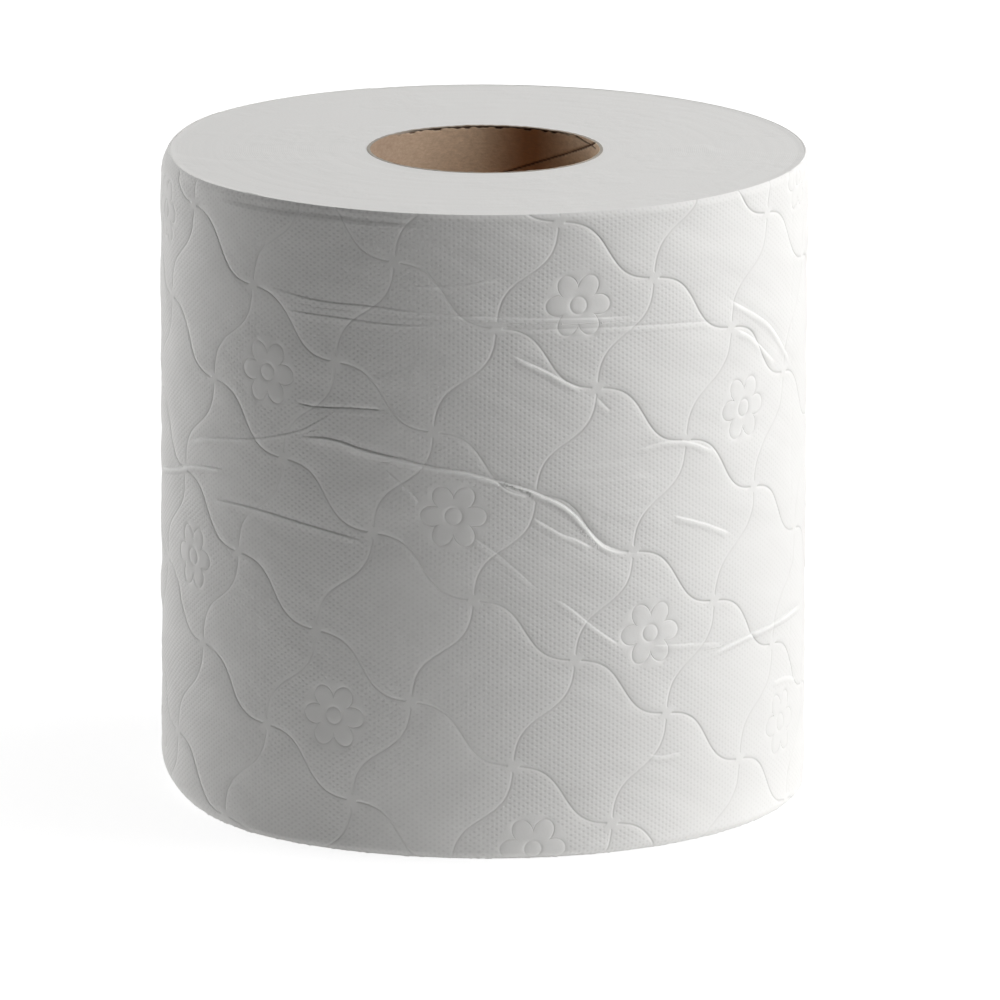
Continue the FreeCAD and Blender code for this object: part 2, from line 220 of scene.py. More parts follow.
class StageSizes(bpy.types.PropertyGroup):
    """Camera, lamps and floor."""

    camera_distance: metres("Camera Distance", "From the middle of the roll", 2.4906)
    camera_pitch: degrees("Camera Pitch", "How far the camera looks down", 13.033)
    camera_roll: degrees("Camera Roll", "How far the camera leans", 0.162)
    focal_length: number("Focal Length", "Focal length in millimetres", 509.79)
    sensor_width: number("Sensor Width", "Width of the sensor in millimetres", 36.0)
    shift_right: number("Shift Right", "Sideways shift of the frame", 0.01591)
    shift_up: number("Shift Up", "Upward shift of the frame", -0.03443)
    # Painted light: a glow of the floor near the roll that lights the roll from below and that the
    # camera doesn't see.
    glow: number("Floor Glow", "Brightness of the floor under the roll", 1.45)
    glow_reach: metres("Glow Reach", "Distance over which the floor's brightness fades", 0.03)
    shadow_share: number(
        "Shadow Share", "How much of the floor's own light and shadow is seen", 0.3
    )
    shadow_reach: metres("Shadow Reach", "Distance over which the floor turns plain white", 0.2)
    floor_size: metres("Floor Size", "Side of the floor", 8.0)


# Creases of the outer turn: points as (along the sheet, height), then how far the paper under
# the line stands out, how far the paper over it sinks in, and the half width.
CREASES = [
    ([(-34.2, 72.8), (-29.3, 73.4), (-25.3, 73), (-21.9, 72), (-14.3, 70.7), (-10.5, 69.8),
      (-4.3, 69.1), (-1.5, 68.5), (3.8, 66.9), (6.8, 66.1), (9.8, 64.8), (13.7, 63),
      (16.2, 60.9), (18.4, 58.3), (20.8, 55.5), (23.2, 54.2), (26.3, 53.4)], 0.13, 0.24, 0.40),
    ([(-81.7, 58.6), (-72, 60.4), (-65.7, 62.1), (-60.8, 63.3), (-51.6, 64.2)], 0.10, 0.16, 0.45),
    ([(-63.9, 66.9), (-58.9, 68.7), (-51.9, 69.8), (-43.9, 71), (-38.1, 72.6), (-33.8, 73.9),
      (-30.7, 75.7), (-27.7, 77.5)], 0.06, 0.10, 0.40),
    ([(-40.8, 98.6), (-29.7, 97.2), (-19.7, 97.4), (-10.2, 96.6), (2.7, 96.1), (28, 95)],
     0.05, 0.08, 0.42),
    ([(-37, 95), (-25.7, 94.8), (-16.4, 94.3), (-7.6, 94.6)], 0.05, 0.06, 0.40),
    ([(-3.3, 94.3), (2.7, 94.3), (9.7, 93.8), (23.2, 93.5), (38.5, 92.6), (45.6, 91.7)],
     0.0, 0.10, 0.36),
    ([(-12.5, 101.4), (-7.6, 101.4), (-2.5, 102), (2.7, 103.1)], 0.05, 0.05, 0.36),
    ([(5.3, 89.2), (7.9, 87.9), (11.4, 86.2), (14.1, 84.5), (17.2, 83.1)], 0.10, 0.12, 0.40),
    ([(3.2, 66.7), (4.9, 65.6), (7.5, 64.8)], 0.08, 0.08, 0.36),
    ([(-55.6, 58.3), (-49.1, 58.8), (-39.2, 58.4), (-28.7, 57), (-21.5, 55.8)],
     0.02, 0.15, 0.42),
    ([(-17.3, 68.7), (-15.3, 67.2), (-12.8, 65.1), (-11.1, 62.9)], 0.05, 0.06, 0.36),
    ([(-34.6, 78.9), (-32.7, 78.5), (-29.7, 78.5), (-24.8, 79), (-17.5, 79.1)],
     0.0, 0.20, 0.45),
    ([(-20.1, 84.7), (-15.5, 85.9), (-11.5, 87.4)], 0.08, 0.05, 0.90),
    ([(8.6, 60.6), (11.6, 58.9), (13.7, 57.5), (16.4, 56.5), (19.1, 54.9)], 0.07, 0.08, 0.45),
    ([(13, 69), (20, 69.5), (29, 70)], 0.08, 0.04, 1.20),
    ([(16, 67), (23, 66.6), (31, 66.9)], 0.07, 0.04, 1.10),
    ([(19, 64.2), (25, 63.6), (32, 64)], 0.07, 0.04, 1.00),
    ([(21, 61.3), (26, 60.8), (33, 61.2)], 0.06, 0.04, 1.00),
    ([(-2.3, 57.7), (2.5, 54.3), (4.9, 52.2), (9, 48.4)], 0.0, 0.08, 0.40),
    ([(12.5, 46.1), (14.3, 45.3), (18.8, 41.3), (24.1, 37.3)], 0.04, 0.07, 0.45),
    ([(35.2, 58.9), (38.8, 57.8), (43.5, 56.1), (48.6, 53.8)], 0.09, 0.06, 0.42),
    ([(27.8, 71.4), (33.2, 72.4), (38.2, 71.8), (44.3, 69.2)], 0.06, 0.06, 0.40),
    ([(31.4, 36.3), (41.2, 35.4), (46.7, 34.5)], 0.05, 0.05, 0.40),
    ([(43.2, 32.9), (48.3, 34), (54.6, 34.6), (69.6, 35.2), (78, 34.9)], 0.10, 0.12, 0.42),
    ([(19.9, 81.3), (21, 80.2), (22.3, 78.8)], 0.0, 0.10, 0.36),
    ([(48.2, 95.2), (57.8, 90.3), (62.6, 87.3), (69.6, 80.5)], 0.08, 0.08, 0.45),
    ([(50.4, 89.5), (54.6, 87.7), (62.7, 81.6)], 0.06, 0.08, 0.42),
    ([(30.5, 16.9), (33.4, 16.2), (36.8, 16.6)], 0.06, 0.05, 0.36),
    ([(62.9, 24.3), (69.3, 24.1), (75, 22.2)], 0.06, 0.06, 0.40),
]

# The top face: bands of turns, their widths and their height as a share of the width.
TOP_BANDS, BAND_WIDTHS, BAND_SHARE = 16, (0.8, 5.0), 0.0012
# A soft fold in it, from the rim inwards, with its height and reach and the hollow beside it,
# as (share of the height, distance and reach).
TOP_FOLD = ((-56.9, -5.5), (-41.5, -15.0))
FOLD_HEIGHT, FOLD_REACH, FOLD_HOLLOW = 0.05, 1.1, (0.7, 1.6)
# A short split in the core's inner ply, as (angle from +X in degrees, depth under the rim).
CORE_SPLIT = ((37.2, 0.35), (29.2, 0.85), (15.0, 1.15))


def smooth_step(value, start, end):
    """0 before start, 1 after end, and a smooth S between them."""
    share = np.clip((value - start) / (end - start), 0, 1)
    return share * share * (3 - 2 * share)


def tail_offset(sizes):
    """Where the tail edge lies along the unrolled sheet, counted from the front."""
    return sizes.radius / MM * (sizes.tail_angle - FRONT_ANGLE - FULL_TURN)


def spiral_points(sizes, along, up, inward):
    """Points on the outer turn, a distance inward of its surface.

    The turn is a spiral of four quarter arcs about the corners of a small square. The angle
    past the tail edge is the distance along the sheet over the radius.
    """
    radius, bulk = sizes.radius / MM, sizes.bulk / MM
    turned = (along - tail_offset(sizes)) / radius
    quarter = np.clip(np.floor(turned / FULL_TURN * QUARTERS).astype(int), 0, QUARTERS - 1)
    angle = turned + sizes.tail_angle
    reach = radius - bulk * (2 * quarter + 1) / (2 * QUARTERS) - inward
    centre = QUARTER_CENTRES[quarter] * bulk / QUARTERS
    cos_tail, sin_tail = math.cos(sizes.tail_angle), math.sin(sizes.tail_angle)
    x = centre[..., 0] * cos_tail - centre[..., 1] * sin_tail + reach * np.cos(angle)
    y = centre[..., 0] * sin_tail + centre[..., 1] * cos_tail + reach * np.sin(angle)
    return np.stack([x, y, up + 0 * x], axis=-1)


def lattice_steps(emboss):
    """The two cell sides of the lattice on the unrolled sheet, as columns of a matrix."""
    pitch, stretch = emboss.pitch / MM, emboss.stretch
    cos_slant, sin_slant = math.cos(emboss.slant), math.sin(emboss.slant)
    level = (pitch * cos_slant, -pitch * stretch * sin_slant)
    steep = (-pitch * sin_slant, -pitch * stretch * cos_slant)
    return np.array([level, steep]).T


def lattice_counts(emboss, along, up):
    """How many cells a place is from the first node, along both cell sides."""
    counts = np.linalg.inv(lattice_steps(emboss))
    place = np.stack([along - emboss.front_offset / MM, up - emboss.node_height / MM])
    return np.tensordot(counts, place, axes=1)


def groove_height(emboss, along, up):
    """Height of the lattice grooves and of the pillows between them, zero or below.

    With a and b as the counts of cells, the grooves of one family are the whole numbers of
    b + sway sin(2 pi a), those of the other the whole numbers of a - sway sin(2 pi b). The
    distance to a groove is the distance to the whole number over the slope.
    """
    counts = np.linalg.inv(lattice_steps(emboss))
    a, b = lattice_counts(emboss, along, up)
    swing = FULL_TURN * emboss.sway
    reach, gap = emboss.groove_reach / MM, emboss.node_gap / MM
    total, sink = np.zeros_like(a), np.zeros_like(a)
    families = ((1, b, a, counts[1], counts[0], 1.0),
                (-1, a, b, counts[0], counts[1], emboss.steep_share))
    for sign, across, running, own, other, depth in families:
        phase = across + sign * emboss.sway * np.sin(FULL_TURN * running)
        bend = sign * swing * np.cos(FULL_TURN * running)
        slope = np.hypot(own[0] + bend * other[0], own[1] + bend * other[1])
        distance = np.abs(phase - np.round(phase)) / slope
        to_node = np.abs(running - np.round(running)) * emboss.pitch / MM
        ends = smooth_step(to_node, gap + GROOVE_ENDS[0], gap + GROOVE_ENDS[1])
        total = np.minimum(total, -depth * np.exp(-((distance / reach) ** 2)) * ends)
        sink += np.exp(-((distance / (PILLOW_REACH * reach)) ** 2))
    return total * emboss.groove_depth / MM - sink * emboss.pillow / MM


def rosette_height(emboss, along, up):
    """Height of a rosette in every other cell, zero or below.

    Six petals: the outline's radius follows the absolute cosine of three times the angle, with
    a ring in the middle.
    """
    steps = lattice_steps(emboss)
    a, b = lattice_counts(emboss, along, up)
    cell_a, cell_b = np.floor(a), np.floor(b)
    filled = (np.mod(cell_a, 2) == 0) & (np.mod(cell_b, 2) == 1)
    middle = np.stack([a - cell_a - 0.5, b - cell_b - 0.5])
    right, above = np.tensordot(steps, middle, axes=1)
    radius, angle = np.hypot(right, above), np.arctan2(above, right)
    reach = emboss.rosette_radius / MM
    petals = np.abs(np.cos(PETALS / 2 * angle)) ** PETAL_ROUNDNESS
    outline = reach * (PETAL_NOTCH + (1 - PETAL_NOTCH) * petals)
    edge = np.exp(-(((radius - outline) / PETAL_REACH) ** 2))
    ring = np.exp(-(((radius - MIDDLE_RING * reach) / RING_REACH) ** 2))
    return -emboss.groove_depth / MM * np.maximum(edge, ring) * filled


def rounded_line(points):
    """The line with its corners cut off twice, each time at a quarter of every side."""
    line = np.array(points, float)
    for _ in range(2):
        near = line[:-1] * 0.75 + line[1:] * 0.25
        far = line[:-1] * 0.25 + line[1:] * 0.75
        cut = np.stack([near, far], axis=1).reshape(-1, 2)
        line = np.concatenate([line[:1], cut, line[-1:]])
    return line


def from_line(line, x, y):
    """Distance from a line, positive on its upper side, and the share of its length passed."""
    nearest = np.full(x.shape, 1e3)
    place = np.zeros(x.shape)
    steps = np.diff(line, axis=0)
    lengths = np.hypot(steps[:, 0], steps[:, 1])
    passed = 0.0
    for start, step, length in zip(line[:-1], steps, lengths):
        ahead = step / length
        off_x, off_y = x - start[0], y - start[1]
        share = np.clip(off_x * ahead[0] + off_y * ahead[1], 0, length)
        distance = np.hypot(off_x - share * ahead[0], off_y - share * ahead[1])
        above = ahead[0] * off_y - ahead[1] * off_x > 0
        closer = distance < np.abs(nearest)
        nearest = np.where(closer, np.where(above, distance, -distance), nearest)
        place = np.where(closer, (passed + share) / lengths.sum(), place)
        passed += length
    return nearest, place


def crease_field(along, up):
    """Height of the creases, distance from the nearest one, and how strong it is there.

    Across a crease the paper sinks above the line and stands out below it, with a steep step
    between them and a slow return to the plain surface on both sides.
    """
    total = np.zeros_like(along)
    nearest = np.full_like(along, FAR_AWAY)
    strength = np.zeros_like(along)
    for points, lip, notch, width in CREASES:
        line = rounded_line(points)
        reach = CREASE_REACH * width
        inside = (along > line[:, 0].min() - reach) & (along < line[:, 0].max() + reach)
        inside &= (up > line[:, 1].min() - reach) & (up < line[:, 1].max() + reach)
        if not inside.any():
            continue
        distance, place = from_line(line, along[inside], up[inside])
        side = distance / width
        start, end = CREASE_STEP
        raised = smooth_step(-side, start, end) * np.exp(-((side / LIP_FADE) ** 2))
        sunken = smooth_step(side, -end, -start) * np.exp(-((side / NOTCH_FADE) ** 2))
        if lip == 0:
            sunken = np.exp(-(side ** 2))
        fade = smooth_step(np.minimum(place, 1 - place), *CREASE_ENDS)
        total[inside] += (lip * raised - notch * sunken) * fade
        beyond = np.abs(distance)
        sharp = (lip + notch) * fade * (width < SOFT_WIDTH)
        sharp = sharp * (1 - smooth_step(beyond, *SHARP_REACH))
        closer = beyond < np.abs(nearest[inside])
        nearest[inside] = np.where(closer, distance, nearest[inside])
        strength[inside] = np.where(closer, sharp, strength[inside])
    return total, nearest, strength


def wrinkle_height(along, up):
    """Soft uneven surface: a sum of sine waves, longer along the sheet than up it."""
    rng = np.random.default_rng(7)
    total = np.zeros_like(along)
    for _ in range(WRINKLES):
        wave = rng.uniform(*WRINKLE_LENGTHS)
        lean = rng.normal(0, WRINKLE_LEAN)
        phase = rng.uniform(0, FULL_TURN)
        swell = rng.uniform(0, FULL_TURN)
        level = FULL_TURN * (up * math.cos(lean) + along * math.sin(lean)) / wave
        swing = 1 + np.sin(along / rng.uniform(7, 15) + up / rng.uniform(12, 30) + swell)
        total += np.sin(level + phase + 0.8 * np.sin(along / 9 + phase)) * swing * wave
    return total * WRINKLE_SHARE


def within(place, stretch):
    """1 inside a stretch, 0 outside it, with soft ends."""
    start, full, late, over = stretch
    return smooth_step(place, start, full) * (1 - smooth_step(place, late, over))


def worn_edge(away, bevel, wear, crushed):
    """How far an edge is worn in, at a distance from it."""
    height, higher, deeper = wear
    share = np.clip(1 - away / (height + higher * crushed), 0, 1)
    return share ** 2 * (bevel + deeper * crushed)


def rim_inset(sizes, along, up, top):
    """How far the rims lie inside the roll's side: worn all round, and crushed on the left."""
    foot = worn_edge(up, sizes.foot_bevel / MM, FOOT_WEAR, within(along, CRUSHED_FOOT))
    crown = worn_edge(top - up, sizes.top_bevel / MM, TOP_WEAR, within(along, CRUSHED_TOP))
    return foot + crown


def rim_dent(along, up, top):
    """A band under the rim that is pushed in: it sinks slowly going down and ends in a step."""
    below = top - up + DENT_SWAY * np.sin(along / SWAY_LENGTH)
    return -DENT_DEPTH * within(below, DENT_BAND) * within(along, DENTED)


def perforation_height(along, up, start, end):
    """Short slits along both ends of a sheet, with bonds between them."""
    slit = smooth_step(np.cos(FULL_TURN * up / BOND_PITCH), *SLIT_ENDS)
    edge = np.minimum(np.abs(along - start), np.abs(along - end))
    return -PERFORATION_DEPTH * np.exp(-((edge / PERFORATION_REACH) ** 2)) * slit


def ragged_wave(place, seed, waves):
    """Uneven line between about -1 and 1: sine waves with the given whole counts a turn."""
    rng = np.random.default_rng(seed)
    total = sum(np.sin(place * count + rng.uniform(0, FULL_TURN)) for count in waves)
    return total / math.sqrt(len(waves) / 2) / 2


def grid_quads(columns, rows, closed=False):
    """Quads of a grid of points counted column by column, facing along columns x rows."""
    count = columns if closed else columns - 1
    here = np.arange(count)[:, None] * rows + np.arange(rows - 1)
    there = (np.arange(1, count + 1)[:, None] % columns) * rows + np.arange(rows - 1)
    return np.stack([here, there, there + 1, here + 1], axis=-1).reshape(-1, 4)


def closed_band(columns, rows):
    """Quads of a grid that closes on itself both ways, facing along columns x rows."""
    i = np.arange(columns)
    here, there = i * rows, (i + 1) % columns * rows
    last = np.stack([here + rows - 1, there + rows - 1, there, here], axis=-1)
    return np.concatenate([grid_quads(columns, rows, closed=True), last])


def linked(name, data):
    """A new object of the scene that shows the data."""
    made = bpy.data.objects.new(name, data)
    bpy.context.scene.collection.objects.link(made)
    return made


def add_object(name, points, faces, material, node):
    """A smooth mesh object in the frame's metres that takes the place of a node."""
    mesh = bpy.data.meshes.new(name)
    mesh.from_pydata((points * MM).tolist(), [], faces)
    mesh.shade_smooth()
    mesh.set_sharp_from_angle(angle=SHARP_ANGLE)
    mesh.materials.append(material)
    piece = linked(name, mesh)
    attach(piece, "root")
    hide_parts(node)
    return piece


def sheet_height(emboss, creases, along, up, start, end, top):
    """Height of the whole relief of one sheet under the roll's smooth side, zero at most."""
    calm = smooth_step(top - up, 0.0, CALM_TOP) * smooth_step(up, 0.0, CALM_FOOT)
    relief = groove_height(emboss, along, up) + rosette_height(emboss, along, up)
    relief = relief + creases + wrinkle_height(along, up)
    relief = relief + perforation_height(along, up, start, end)
    return np.minimum(relief * calm + rim_dent(along, up, top) - RELIEF_ROOM, -LEAST_ROOM)


def sheet_columns(sizes, start, end):
    """Places along one sheet: close together in view and wider apart at the back."""
    reach = sizes.view_reach / MM
    breaks = [start] + [place for place in (-reach, reach) if start < place < end] + [end]
    parts = []
    for low, high in zip(breaks, breaks[1:]):
        in_view = abs(low + high) / 2 < reach
        step = (sizes.column_step if in_view else sizes.back_step) / MM
        count = int(math.ceil((high - low) / step))
        parts.append(np.linspace(low, high, count, endpoint=False))
    return np.append(np.concatenate(parts), end)


def sheet_rows(top):
    """Heights up one sheet, closer together at the foot and where the creases lie."""
    limits = (*ROW_LIMITS, top)
    parts = [
        np.linspace(low, high, count, endpoint=high == top)
        for low, high, count in zip(limits, limits[1:], ROW_COUNTS)
    ]
    return np.concatenate(parts)


def add_sheet(name, sizes, emboss, start, end, top, material):
    """One sheet of the outer turn, as a closed shell from perforation to perforation."""
    places, heights = sheet_columns(sizes, start, end), sheet_rows(top)
    columns, rows = len(places), len(heights)
    along, up = np.meshgrid(places, heights, indexing="ij")
    creases, nearest, strength = crease_field(along, up)
    height = sheet_height(emboss, creases, along, up, start, end, top)
    frayed = 0.5 + 0.5 * ragged_wave(along / sizes.radius * MM, 5, FRAY_WAVES)
    level = up + FRAY_DEPTH * np.clip(frayed, 0, 1) * (1 - smooth_step(up, 0.0, FRAY_REACH))
    outer = spiral_points(sizes, along, level, rim_inset(sizes, along, up, top) - height)
    levels = [0, EDGE_MARGIN, top - EDGE_MARGIN, top]
    back_along, back_up = np.meshgrid(places, levels, indexing="ij")
    at_edge = (back_up == 0) | (back_up == top)
    depth = np.where(at_edge, sizes.edge_depth / MM + EDGE_ROOM, sizes.sheet_depth / MM)
    inset = rim_inset(sizes, back_along, back_up, top)
    back_level = back_up + np.where(back_up == 0, FOOT_ROOM, 0)
    inner = spiral_points(sizes, back_along, back_level, inset + depth)
    points = np.concatenate([outer.reshape(-1, 3), inner.reshape(-1, 3)])
    first = columns * rows
    faces = grid_quads(columns, rows).tolist()
    faces += (grid_quads(columns, 4)[:, ::-1] + first).tolist()
    i = np.arange(columns - 1)
    out_top, in_top = i * rows + rows - 1, first + i * 4 + 3
    out_foot, in_foot = i * rows, first + i * 4
    faces += np.stack([out_top, out_top + rows, in_top + 4, in_top], axis=-1).tolist()
    faces += np.stack([out_foot + rows, out_foot, in_foot, in_foot + 4], axis=-1).tolist()
    faces.append(list(range(rows)) + [first + 3, first + 2, first + 1, first])
    last = (columns - 1) * rows
    back = first + (columns - 1) * 4
    faces.append([back, back + 1, back + 2, back + 3] + list(range(last + rows - 1, last - 1, -1)))
    piece = add_object(name, points, faces, material, "paper_roll")
    sides = ((along, up), (back_along, back_up))
    unrolled = np.concatenate([np.stack(side, axis=-1).reshape(-1, 2) for side in sides])
    crossing = np.zeros((len(unrolled), 2))
    crossing[:first] = np.stack([nearest, strength], axis=-1).reshape(-1, 2)
    vertex = np.zeros(len(piece.data.loops), np.int32)
    piece.data.loops.foreach_get("vertex_index", vertex)
    for title, values in (("unrolled", unrolled), ("creases", crossing)):
        layer = piece.data.uv_layers.new(name=title)
        layer.data.foreach_set("uv", (values[vertex] * MM).ravel().astype(np.float32))
    return piece


def top_relief(x, y):
    """Height of the top face: uneven bands of turns, and one soft fold."""
    radius, angle = np.hypot(x, y), np.arctan2(y, x)
    rng = np.random.default_rng(11)
    total = np.zeros_like(x)
    for _ in range(TOP_BANDS):
        wave = rng.uniform(*BAND_WIDTHS)
        lobes = int(rng.integers(-2, 3))
        phase = rng.uniform(0, FULL_TURN)
        swell = 0.6 + 0.4 * np.sin(int(rng.integers(1, 4)) * angle + phase * 3)
        total += np.sin(FULL_TURN * radius / wave + lobes * angle + phase) * swell * wave
    distance, place = from_line(np.array(TOP_FOLD), x, y)
    share, away = FOLD_HOLLOW
    fold = np.exp(-((distance / FOLD_REACH) ** 2))
    fold = fold - share * np.exp(-(((distance - away) / away) ** 2))
    return total * BAND_SHARE + FOLD_HEIGHT * fold * smooth_step(1 - place, 0.0, 0.6)


def add_wound_turns(sizes, tube_radius, top, material):
    """The turns under the outer one: a closed body with both end faces and the bore's wall.

    A point's place is its angle and its distance along a profile that runs from the bore over
    the top face, down the side and back over the foot face.
    """
    crown, depth = sizes.edge_depth / MM + CROWN_GAP, sizes.sheet_depth / MM
    bore = tube_radius + BORE_GAP
    turned = np.arange(TURN_COLUMNS) / TURN_COLUMNS * FULL_TURN
    along = tail_offset(sizes) + turned * sizes.radius / MM
    angle = along / (sizes.radius / MM) + FRONT_ANGLE
    inner = np.stack([bore * np.cos(angle), bore * np.sin(angle)], axis=-1)[:, None]
    place, reach, width = LIFTED
    gap = width * np.exp(-(((along - place) / reach) ** 2))

    def ring(height, depth):
        """The outline at a height, a depth under the side."""
        inset = rim_inset(sizes, along, np.full(TURN_COLUMNS, height), top)
        return spiral_points(sizes, along, height, inset + depth)[:, None, :2]

    share = np.linspace(0, 1, TOP_RINGS)[None, :, None]
    upper = inner + share * (ring(top, crown + gap) - inner)
    relief = top_relief(upper[..., 0], upper[..., 1])
    near_rim = smooth_step(share[..., 0], 0.965, 1.0)
    upper_z = np.minimum(top - TOP_DROP + relief + RIM_RISE * near_rim, top - LEAST_DROP)
    side = [top - 1.5, top - 4.5, top / 2, 5.5, 1.5]
    walls = np.concatenate([ring(height, depth) for height in side], axis=1)
    walls_z = np.zeros((TURN_COLUMNS, 1)) + side
    share = np.linspace(1, 0, FOOT_RINGS)[None, :, None]
    lower = inner + share * (ring(0.0, crown) - inner)
    lower_z = np.full((TURN_COLUMNS, FOOT_RINGS), FOOT_RISE)
    flat = np.concatenate([upper, walls, lower], axis=1)
    points = np.concatenate([flat, np.concatenate([upper_z, walls_z, lower_z], 1)[..., None]], -1)
    quads = closed_band(TURN_COLUMNS, points.shape[1])[:, ::-1].tolist()
    return add_object(
        "wound_turns", points.reshape(-1, 3), quads, material, "paper_roll"
    )


def round_axis(radius, turn, z):
    """Points at a radius, an angle and a height."""
    return np.stack([radius * np.cos(turn), radius * np.sin(turn), z], -1)


def add_core(core, tube_radius, top, material):
    """The cardboard tube: inner wall with its slanted seam, rims and outer wall.

    A point's place is its angle and its distance along a profile that runs down the inner wall
    and up the outer one.
    """
    columns, ply, rise = core.columns, core.ply / MM, core.seam_pitch / MM
    bore_radius = tube_radius - 2 * ply
    angle = np.linspace(0, FULL_TURN, columns, endpoint=False)
    seam_foot = top - SEAM_DEPTH
    levels = np.concatenate([
        np.linspace(top, top - 1.5, 16), np.arange(top - 1.8, seam_foot, -0.3),
        np.arange(seam_foot, 1, -2.0), [CORE_FOOT],
    ])
    turn, z = np.meshgrid(angle, levels, indexing="ij")
    across = (z - top) / rise + (turn - core.seam_top_angle) / FULL_TURN
    distance = np.abs(across - np.round(across)) * rise
    under_split = (turn > core.seam_top_angle) | (z < top - CORE_SPLIT[-1][1])
    notch = np.clip(1.2 - distance / (core.seam_gap / MM / 2), 0, 1) * under_split
    notch = notch * smooth_step(z, seam_foot + 0.2, seam_foot + 3.0)
    split = np.array([(math.radians(a) * bore_radius, top - d) for a, d in CORE_SPLIT])[::-1]
    from_split, _ = from_line(split, turn * bore_radius, z)
    notch = np.maximum(notch, np.clip(1.3 - np.abs(from_split) / SPLIT_REACH, 0, 1))
    ragged = np.clip(ragged_wave(angle, 3, RIM_WAVES)[:, None], -1, 1)
    torn = ragged_wave(angle, 9, TORN_WAVES)[:, None]
    at_back = smooth_step(np.sin(angle), 0.55, 0.85)[:, None]
    reach = TORN_REACH + TORN_SWING * np.clip(0.5 + torn, 0, 1)
    under = top - z
    scallop = smooth_step(under, 0.02, 0.12) * (1 - smooth_step(under, reach, reach + 0.15))
    inner = bore_radius + ply * np.maximum(notch, 0.95 * scallop * at_back)
    drop, uneven = INNER_RIM
    wall = round_axis(inner, turn, z - np.where(z == top, drop + uneven * ragged, 0))
    turn_out, z_out = np.meshgrid(angle, [CORE_FOOT, top], indexing="ij")
    drop, uneven = OUTER_RIM
    z_out = z_out - np.where(z_out == top, drop + uneven * ragged, 0)
    points = np.concatenate([wall, round_axis(tube_radius - GLUE_GAP, turn_out, z_out)], axis=1)
    count = points.shape[1]
    quads = closed_band(columns, count).tolist()
    piece = add_object(
        "cardboard_core", points.reshape(-1, 3), quads, material, "core_tube"
    )
    # Painted shade for the board's shader: how dark the seam's cut gap, the split and the torn
    # scallops under the back rim are painted.
    depth = np.zeros((columns, count), np.float32)
    depth[:, :len(levels)] = np.maximum(notch, scallop * at_back)
    shadow = piece.data.attributes.new("gap", "FLOAT", "POINT")
    shadow.data.foreach_set("value", depth.ravel())
    return piece


class Graph:
    """A material's node tree, with methods that add nodes and set or link their inputs."""

    def __init__(self, name):
        self.material = bpy.data.materials.new(name)
        self.material.use_nodes = True
        self.tree = self.material.node_tree
        self.shader = self.tree.nodes["Principled BSDF"]

    def node(self, kind, inputs=None, **settings):
        """A new node; settings are its own values, inputs go to its sockets by name or place."""
        made = self.tree.nodes.new(kind)
        for key, value in settings.items():
            setattr(made, key, value)
        for key, value in (inputs or {}).items():
            self.feed(made.inputs[key], value)
        return made

    def feed(self, socket, value):
        """Link a value's socket, or set a constant."""
        if isinstance(value, Value):
            value = value.socket
        if isinstance(value, bpy.types.NodeSocket):
            self.tree.links.new(value, socket)
        else:
            socket.default_value = value

    def value(self, socket):
        """A number to count with."""
        return Value(self, socket)

    def mix(self, share, first, second):
        """The first colour turning into the second over a share from 0 to 1."""
        made = self.node("ShaderNodeMix", {0: share, 6: first, 7: second}, data_type="RGBA")
        return made.outputs[2]

    def noise(self, place, scale, detail, roughness=0.5):
        """A number of uneven noise at a place."""
        inputs = {"Vector": place, "Scale": scale, "Detail": detail, "Roughness": roughness}
        return self.value(self.node("ShaderNodeTexNoise", inputs).outputs[0])

    def split(self, vector):
        """The three numbers of a vector."""
        made = self.node("ShaderNodeSeparateXYZ", {"Vector": vector})
        return [self.value(output) for output in made.outputs]

    def finish(self, colour, height, constants, distance=1.0):
        """Give the shader its colour, its bump from a height and its constants."""
        shape = {"Height": height, "Strength": 1.0, "Distance": distance}
        bump = self.node("ShaderNodeBump", shape)
        for name, value in {"Base Color": colour, "Normal": bump.outputs[0], **constants}.items():
            self.feed(self.shader.inputs[name], value)
        return self.material


class Value:
    """A number in a node tree; counting with it adds Math nodes."""

    def __init__(self, graph, socket):
        self.graph = graph
        self.socket = socket

    def math(self, operation, *others):
        """The result of a Math node with this value as its first input."""
        inputs = {place: value for place, value in enumerate((self, *others))}
        made = self.graph.node("ShaderNodeMath", inputs, operation=operation)
        return Value(self.graph, made.outputs[0])

    def __add__(self, other):
        return self.math("ADD", other)

    def __sub__(self, other):
        return self.math("SUBTRACT", other)

    def __rsub__(self, other):
        return self.math("MULTIPLY_ADD", -1.0, other)

    def __mul__(self, other):
        return self.math("MULTIPLY", other)

    def __truediv__(self, other):
        return self.math("DIVIDE", other)

    __radd__ = __add__
    __rmul__ = __mul__


def diagonal(x, y):
    """Shader value: the length of the hypotenuse over two sides."""
    return (x * x + y * y).math("SQRT")


def bell(value, reach):
    """Shader value: 1 at zero, falling off like a bell over the reach."""
    share = value / reach
    return (share * share * -1.0).math("EXPONENT")


def ramp(value, start, width):
    """Shader value: 0 up to the start, rising to 1 over the width."""
    return ((value - start) / width).math("MAXIMUM", 0.0).math("MINIMUM", 1.0)


